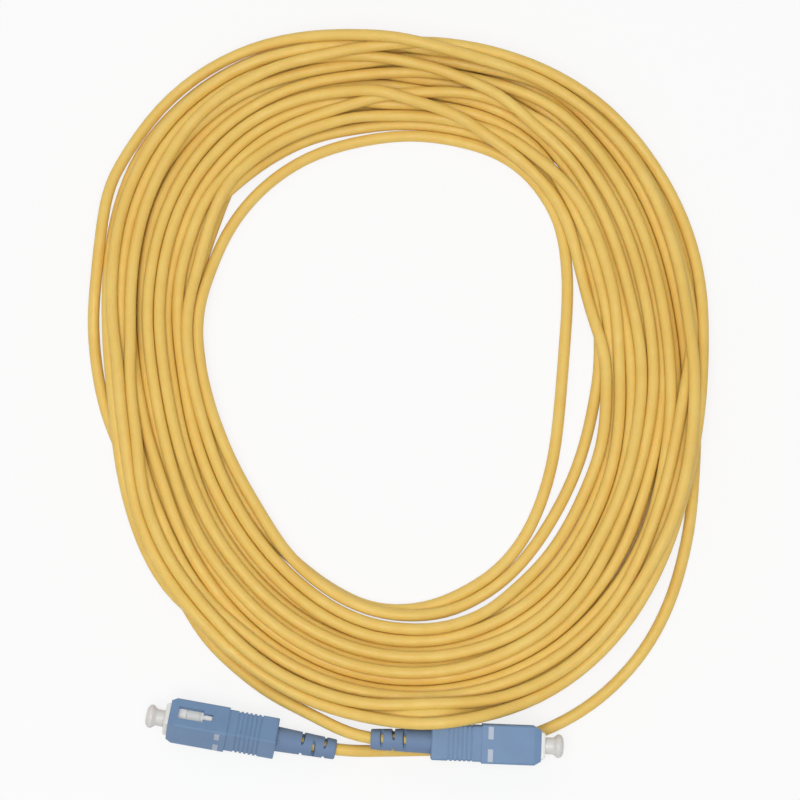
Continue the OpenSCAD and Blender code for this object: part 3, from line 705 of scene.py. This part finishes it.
def even(made):
    """Keeps a piece's flat faces flat to the eye, while its small round edges stay smooth."""
    weighting = made.modifiers.new("even", "WEIGHTED_NORMAL")
    weighting.mode = "FACE_AREA"
    weighting.weight = 50
    weighting.keep_sharp = True


def cut(shape, cutters):
    """The shape less the cutters."""
    made = []
    for name, part in (("whole", shape), ("cutters", cutters)):
        mesh = bpy.data.meshes.new(name)
        part.to_mesh(mesh)
        part.free()
        made.append(bpy.data.objects.new(name, mesh))
        bpy.context.collection.objects.link(made[-1])
    whole, tool = made
    knife = whole.modifiers.new("cut", "BOOLEAN")
    knife.object, knife.operation, knife.solver = tool, "DIFFERENCE", "EXACT"
    bpy.context.view_layer.update()
    result = bmesh.new()
    result.from_mesh(
        whole.evaluated_get(bpy.context.evaluated_depsgraph_get()).to_mesh()
    )
    for thing in made:
        bpy.data.objects.remove(thing)
    return result


def slot_blade(cutters, x, turn, width):
    """Adds the straight cut of one flex slot. Its side towards the cable slopes."""
    blade = bmesh.ops.create_cube(cutters, size=1)["verts"]
    top = 4.0
    for vert in blade:
        outer = vert.co.z > 0
        rear = vert.co.x < 0
        vert.co.x = x + (-width / 2 - (SLOT_FLARE if outer else 0) if rear else width / 2)
        vert.co.y *= 8
        vert.co.z = top if outer else SLOT_FLOOR
    bmesh.ops.rotate(
        cutters, verts=blade, cent=(0, 0, 0), matrix=Matrix.Rotation(math.radians(turn), 3, "X")
    )


def boot_shape(slot_width, turns):
    """The tapered boot with its three pairs of flex slots."""
    outline = [(-14, 1.5)]
    outline += [(x, r) for x, r in reversed(rounded_corner(-13.6, 1.95, 0.4, 1))]
    outline += [(-12, 2.43), (-9, 2.55), (-5, 2.7), (-2, 2.82), (0, 2.89)]
    outline += [(3.12, 2.9), (3.2, 2.83), (3.2, 2.35), (-2.4, 2.35), (-2.4, 1.9), (-5.2, 1.9),
                (-5.2, 1.5)]
    cutters = bmesh.new()
    for x, turn in zip(SLOTS_AT, turns):
        for side in (0, 180):
            slot_blade(cutters, x, turn + side, slot_width)
    return cut(spun(outline, 96), cutters)


def cap_shape():
    """The dust cap: a thin neck, a knob with a sloped flank and a bore for the ferrule."""
    outline = [(28.3, 0), (28.3, 1.2), (28.23, 1.27), (21.7, 1.27), (21.6, 1.37), (21.6, 1.85)]
    outline += [(21.7, 1.95), (28.15, 1.95), (28.32, 1.99), (28.5, 2.12), (29.1, 2.6)]
    outline += [(29.3, 2.71), (29.5, 2.75), (29.75, 2.72), (30.05, 2.58), (30.33, 2.32),
                (30.55, 1.95), (30.66, 1.5), (30.7, 1), (30.7, 0)]
    return spun(outline)


def spring_shape(rear, front, wire_r, mean_r, turns, sides=12, steps=20):
    """A round wire wound round the plug's axis, with a flat cap on each end of the wire."""
    shape = bmesh.new()
    count = round(turns * steps)
    rings = []
    for i in range(count + 1):
        share = i / count
        angle = 2 * math.pi * i / steps
        out = Vector((0, math.cos(angle), math.sin(angle)))
        x = rear + wire_r + (front - rear - 2 * wire_r) * share
        middle = Vector((x, 0, 0)) + mean_r * out
        rings.append([
            shape.verts.new(
                middle + wire_r * (math.cos(turn) * out + math.sin(turn) * Vector((1, 0, 0)))
            )
            for turn in (2 * math.pi * k / sides for k in range(sides))
        ])
    for first, second in zip(rings, rings[1:]):
        for k in range(sides):
            after = (k + 1) % sides
            shape.faces.new((first[k], first[after], second[after], second[k]))
    shape.faces.new(rings[0])
    shape.faces.new(rings[-1])
    return shape


# ---------------------------------------------------------------- settings


class PatchCordCable(bpy.types.PropertyGroup):
    """Size and lay of the cable"""

    diameter: bpy.props.FloatProperty(
        name="Cable diameter", description="Outer diameter of the jacket",
        default=CABLE_D * MM, min=0.001, max=0.004, unit="LENGTH", precision=4,
    )
    length: bpy.props.FloatProperty(
        name="Cord length", description="Length of the cord from plug to plug",
        default=10.0, min=1, max=30, unit="LENGTH",
    )
    lay_seed: bpy.props.IntProperty(
        name="Lay", description="Number that picks how the turns wander", default=3, min=0,
    )
    sides: bpy.props.IntProperty(
        name="Smoothness", description="Steps of the cable's round section in each quarter",
        default=5, min=2, max=8,
    )


class PatchCordPlugs(bpy.types.PropertyGroup):
    """Colours of the cord and small sizes of the plugs"""

    jacket_colour: bpy.props.FloatVectorProperty(
        name="Jacket", description="Colour of the cable jacket", subtype="COLOR",
        size=4, min=0, max=1, default=srgb(236, 204, 114),
    )
    jacket_shade_colour: bpy.props.FloatVectorProperty(
        name="Jacket shade", description="Deeper colour of the cable jacket in patches",
        subtype="COLOR", size=4, min=0, max=1, default=srgb(230, 193, 101),
    )
    sleeve_colour: bpy.props.FloatVectorProperty(
        name="Sleeve", description="Colour of the coupling sleeves", subtype="COLOR",
        size=4, min=0, max=1, default=srgb(117, 145, 180),
    )
    boot_colour: bpy.props.FloatVectorProperty(
        name="Boot", description="Colour of the boots", subtype="COLOR",
        size=4, min=0, max=1, default=srgb(116, 139, 172),
    )
    sleeve_edge: bpy.props.FloatProperty(
        name="Sleeve edges", description="Width of the soft edges of the sleeves",
        default=0.12 * MM, min=0, max=0.0003, unit="LENGTH", precision=5,
    )
    frame_edge: bpy.props.FloatProperty(
        name="Frame edges", description="Width of the soft edges of the frames",
        default=0.06 * MM, min=0, max=0.0002, unit="LENGTH", precision=5,
    )
    slot_width: bpy.props.FloatProperty(
        name="Flex slot width", description="Width of a boot's slots at their floor",
        default=0.45 * MM, min=0.0002, max=0.001, unit="LENGTH", precision=4,
    )
    boot_turn_a: bpy.props.FloatProperty(
        name="Turn of boot a", description="How boot a is turned from its plug",
        default=math.radians(-34), subtype="ANGLE",
    )
    boot_turn_b: bpy.props.FloatProperty(
        name="Turn of boot b", description="How boot b is turned from its plug",
        default=math.radians(-15), subtype="ANGLE",
    )


class PatchCordStage(bpy.types.PropertyGroup):
    """Camera and light"""

    distance: bpy.props.FloatProperty(
        name="Camera distance", description="From the camera to the point that it looks at",
        default=0.6, min=0.2, max=3, unit="LENGTH",
    )
    elevation: bpy.props.FloatProperty(
        name="Camera elevation", description="Angle of the view above the table",
        default=math.radians(80), min=0, max=math.radians(90), subtype="ANGLE",
    )
    table_light: bpy.props.FloatProperty(
        name="Table light", description="Power of the large soft lamps", default=5.0,
        min=0, subtype="POWER",
    )
    room_light: bpy.props.FloatProperty(
        name="Room light", description="Strength of the even light from all round",
        default=0.4, min=0,
    )


# ---------------------------------------------------------------- operators


class PATCHCORD_OT_cable(bpy.types.Operator):
    """Lay the whole cable: both tails and the loose coil"""

    bl_idname = "patchcord.cable"
    bl_label = "Lay the cable"

    def execute(self, context):
        settings = context.scene.patch_cord_cable
        path = cable_path(settings.lay_seed) * MM
        line = bpy.data.curves.new("cable", "CURVE")
        line.dimensions = "3D"
        line.twist_mode = "Z_UP"
        line.bevel_depth = settings.diameter / 2
        line.bevel_resolution = settings.sides - 1
        line.use_fill_caps = True
        spline = line.splines.new("POLY")
        spline.points.add(len(path) - 1)
        spline.points.foreach_set("co", np.c_[path, np.ones(len(path))].ravel())
        former = bpy.data.objects.new("cable_former", line)
        context.collection.objects.link(former)
        context.view_layer.update()
        mesh = bpy.data.meshes.new_from_object(
            former.evaluated_get(context.evaluated_depsgraph_get())
        )
        bpy.data.objects.remove(former)
        mesh.name = "cable"
        mesh.shade_smooth()
        cable = bpy.data.objects.new("cable", mesh)
        context.collection.objects.link(cable)
        dress(cable, "cable_jacket")
        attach(cable, "cord")
        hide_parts("cable_tail_a", "cable_coil", "cable_tail_b")
        return {"FINISHED"}


class PATCHCORD_OT_sleeves(bpy.types.Operator):
    """Make the blue sleeves with softened edges"""

    bl_idname = "patchcord.sleeves"
    bl_label = "Make the sleeves"

    def execute(self, context):
        edge = context.scene.patch_cord_plugs.sleeve_edge / MM
        for plug in PLUGS:
            node = f"{plug}_coupling_sleeve"
            shape = softened(node, edge)
            even(piece(f"{plug}_sleeve", shape, "blue_plastic", f"sleeve_{plug}", [node]))
        return {"FINISHED"}


class PATCHCORD_OT_frames(bpy.types.Operator):
    """Make the white plug frames with softened edges"""

    bl_idname = "patchcord.frames"
    bl_label = "Make the frames"

    def execute(self, context):
        edge = context.scene.patch_cord_plugs.frame_edge / MM
        for plug in PLUGS:
            node = f"{plug}_plug_frame"
            shape = softened(node, edge)
            even(piece(f"{plug}_frame", shape, "white_plastic", "cord", [node]))
        return {"FINISHED"}


class PATCHCORD_OT_boots(bpy.types.Operator):
    """Turn the boots and cut their flex slots"""

    bl_idname = "patchcord.boots"
    bl_label = "Make the boots"

    turns = {"a": (-27, 63, -27), "b": (0, 130, 0)}

    def execute(self, context):
        settings = context.scene.patch_cord_plugs
        for plug, turn in (("a", settings.boot_turn_a), ("b", settings.boot_turn_b)):
            shape = boot_shape(settings.slot_width / MM, self.turns[plug])
            shape.transform(plug_place(plug, math.degrees(turn)))
            piece(f"{plug}_boot_piece", shape, "blue_rubber", "cord", [f"{plug}_boot"])
        return {"FINISHED"}


class PATCHCORD_OT_caps(bpy.types.Operator):
    """Turn the dust caps"""

    bl_idname = "patchcord.caps"
    bl_label = "Make the dust caps"

    def execute(self, context):
        for plug in PLUGS:
            shape = cap_shape()
            shape.transform(plug_place(plug))
            piece(f"{plug}_cap", shape, "cap_plastic", f"cap_{plug}", [f"{plug}_dust_cap"])
        return {"FINISHED"}


class PATCHCORD_OT_springs(bpy.types.Operator):
    """Wind the springs that push the ferrules forward"""

    bl_idname = "patchcord.springs"
    bl_label = "Wind the springs"

    turns = 5.5
    travel = 1.0

    def execute(self, context):
        rear, front, wire_r, mean_r = SPRING
        for plug in PLUGS:
            place = plug_place(plug)
            shape = spring_shape(rear, front, wire_r, mean_r, self.turns)
            shape.transform(place)
            spring = piece(f"{plug}_coil_spring", shape, "spring_steel", "cord", [f"{plug}_spring"])
            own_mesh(spring)
        return {"FINISHED"}


class PATCHCORD_OT_inner_parts(bpy.types.Operator):
    """Give the index marks and the parts inside the plugs their finishes"""

    bl_idname = "patchcord.inner_parts"
    bl_label = "Finish the marks and inner parts"

    def execute(self, context):
        for plug in PLUGS:
            for part, slot in SLOTS.items():
                dress(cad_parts[f"{plug}_{part}"], slot)
        return {"FINISHED"}


class PATCHCORD_OT_stage(bpy.types.Operator):
    """Set the camera, the table and the light"""

    bl_idname = "patchcord.stage"
    bl_label = "Set the stage"

    look_at = Vector((0.0106, 0.0794, 0))
    focal_px = 2496
    frame_px = 800
    white = 0.96
    paper_white = 0.86

    def camera(self, context, settings):
        lens = bpy.data.cameras.new("camera")
        lens.sensor_width = lens.sensor_height = 36
        lens.sensor_fit = "AUTO"
        lens.lens = lens.sensor_width * self.focal_px / self.frame_px
        camera = bpy.data.objects.new("camera", lens)
        back = Vector((0, -math.cos(settings.elevation), math.sin(settings.elevation)))
        camera.location = self.look_at + settings.distance * back
        camera.rotation_euler = Euler((math.pi / 2 - settings.elevation, 0, 0))
        context.collection.objects.link(camera)
        context.scene.camera = camera

    def seen(self, nodes, links):
        """1 for what the camera sees, straight or in a gloss or through glass, and 0 for light."""
        path = nodes.new("ShaderNodeLightPath")
        share = path.outputs["Is Camera Ray"]
        for kind in ("Is Glossy Ray", "Is Transmission Ray"):
            either = nodes.new("ShaderNodeMath")
            either.operation = "MAXIMUM"
            links.new(share, either.inputs[0])
            links.new(path.outputs[kind], either.inputs[1])
            share = either.outputs[0]
        return share

    def table(self, context):
        mesh = bpy.data.meshes.new("table")
        shape = bmesh.new()
        bmesh.ops.create_grid(shape, x_segments=1, y_segments=1, size=1.5)
        shape.to_mesh(mesh)
        shape.free()
        table = bpy.data.objects.new("table", mesh)
        context.collection.objects.link(table)
        material = bpy.data.materials.new("table white")
        material.use_nodes = True
        nodes, links = material.node_tree.nodes, material.node_tree.links
        nodes.clear()
        paper = nodes.new("ShaderNodeBsdfDiffuse")
        paper.inputs["Color"].default_value = (*(self.paper_white,) * 3, 1)
        glow = nodes.new("ShaderNodeEmission")
        scaled = nodes.new("ShaderNodeMath")
        scaled.operation = "MULTIPLY"
        scaled.inputs[1].default_value = 0.8
        mixed = nodes.new("ShaderNodeMixShader")
        output = nodes.new("ShaderNodeOutputMaterial")
        links.new(self.seen(nodes, links), scaled.inputs[0])
        links.new(scaled.outputs[0], mixed.inputs[0])
        links.new(paper.outputs[0], mixed.inputs[1])
        links.new(glow.outputs[0], mixed.inputs[2])
        links.new(mixed.outputs[0], output.inputs["Surface"])
        table.data.materials.append(material)

    def lights(self, context, settings):
        world = bpy.data.worlds.new("room")
        world.use_nodes = True
        nodes, links = world.node_tree.nodes, world.node_tree.links
        room = nodes["Background"]
        room.inputs["Color"].default_value = (1, 1, 1, 1)
        strength = nodes.new("ShaderNodeMapRange")
        strength.inputs["To Min"].default_value = settings.room_light
        strength.inputs["To Max"].default_value = self.white
        links.new(self.seen(nodes, links), strength.inputs["Value"])
        links.new(strength.outputs["Result"], room.inputs["Strength"])
        context.scene.world = world
        for name, size, place, power in (
            ("overhead", 0.5, (-0.05, -0.14, 0.93), 1.0),
            ("window", 0.6, (-0.3, 0.6, 0.7), 0.16),
        ):
            lamp = bpy.data.lights.new(name, "AREA")
            lamp.size = size
            lamp.energy = settings.table_light * power
            light = bpy.data.objects.new(name, lamp)
            light.location = place
            aim = self.look_at - Vector(place)
            light.rotation_euler = aim.to_track_quat("-Z", "Y").to_euler()
            context.collection.objects.link(light)

    def execute(self, context):
        settings = context.scene.patch_cord_stage
        self.camera(context, settings)
        self.table(context)
        self.lights(context, settings)
        context.scene.view_settings.view_transform = "Standard"
        return {"FINISHED"}


class PATCHCORD_PT_panel(bpy.types.Panel):
    """Everything that makes the patch cord"""

    bl_label = "Patch Cord"
    bl_idname = "PATCHCORD_PT_panel"
    bl_space_type = "VIEW_3D"
    bl_region_type = "UI"
    bl_category = "Patch Cord"

    def draw(self, context):
        for settings in ("patch_cord_cable", "patch_cord_plugs", "patch_cord_stage"):
            group = getattr(context.scene, settings)
            box = self.layout.box()
            for name in group.__annotations__:
                box.prop(group, name)
        for operator in OPERATORS:
            self.layout.operator(operator.bl_idname)


SETTINGS = {
    "patch_cord_cable": PatchCordCable,
    "patch_cord_plugs": PatchCordPlugs,
    "patch_cord_stage": PatchCordStage,
}
OPERATORS = (
    PATCHCORD_OT_stage, PATCHCORD_OT_cable, PATCHCORD_OT_sleeves, PATCHCORD_OT_frames,
    PATCHCORD_OT_boots, PATCHCORD_OT_caps, PATCHCORD_OT_springs, PATCHCORD_OT_inner_parts,
)


def register():
    for cls in (*SETTINGS.values(), *OPERATORS, PATCHCORD_PT_panel):
        bpy.utils.register_class(cls)
    for name, cls in SETTINGS.items():
        setattr(bpy.types.Scene, name, bpy.props.PointerProperty(type=cls))


def unregister():
    for name in SETTINGS:
        delattr(bpy.types.Scene, name)
    for cls in (PATCHCORD_PT_panel, *reversed(OPERATORS), *reversed(SETTINGS.values())):
        bpy.utils.unregister_class(cls)


def main():
    register()
    bpy.ops.patchcord.stage()
    bpy.ops.patchcord.cable()
    bpy.ops.patchcord.sleeves()
    bpy.ops.patchcord.frames()
    bpy.ops.patchcord.boots()
    bpy.ops.patchcord.caps()
    bpy.ops.patchcord.springs()
    bpy.ops.patchcord.inner_parts()


if __name__ == "__main__":
    main()
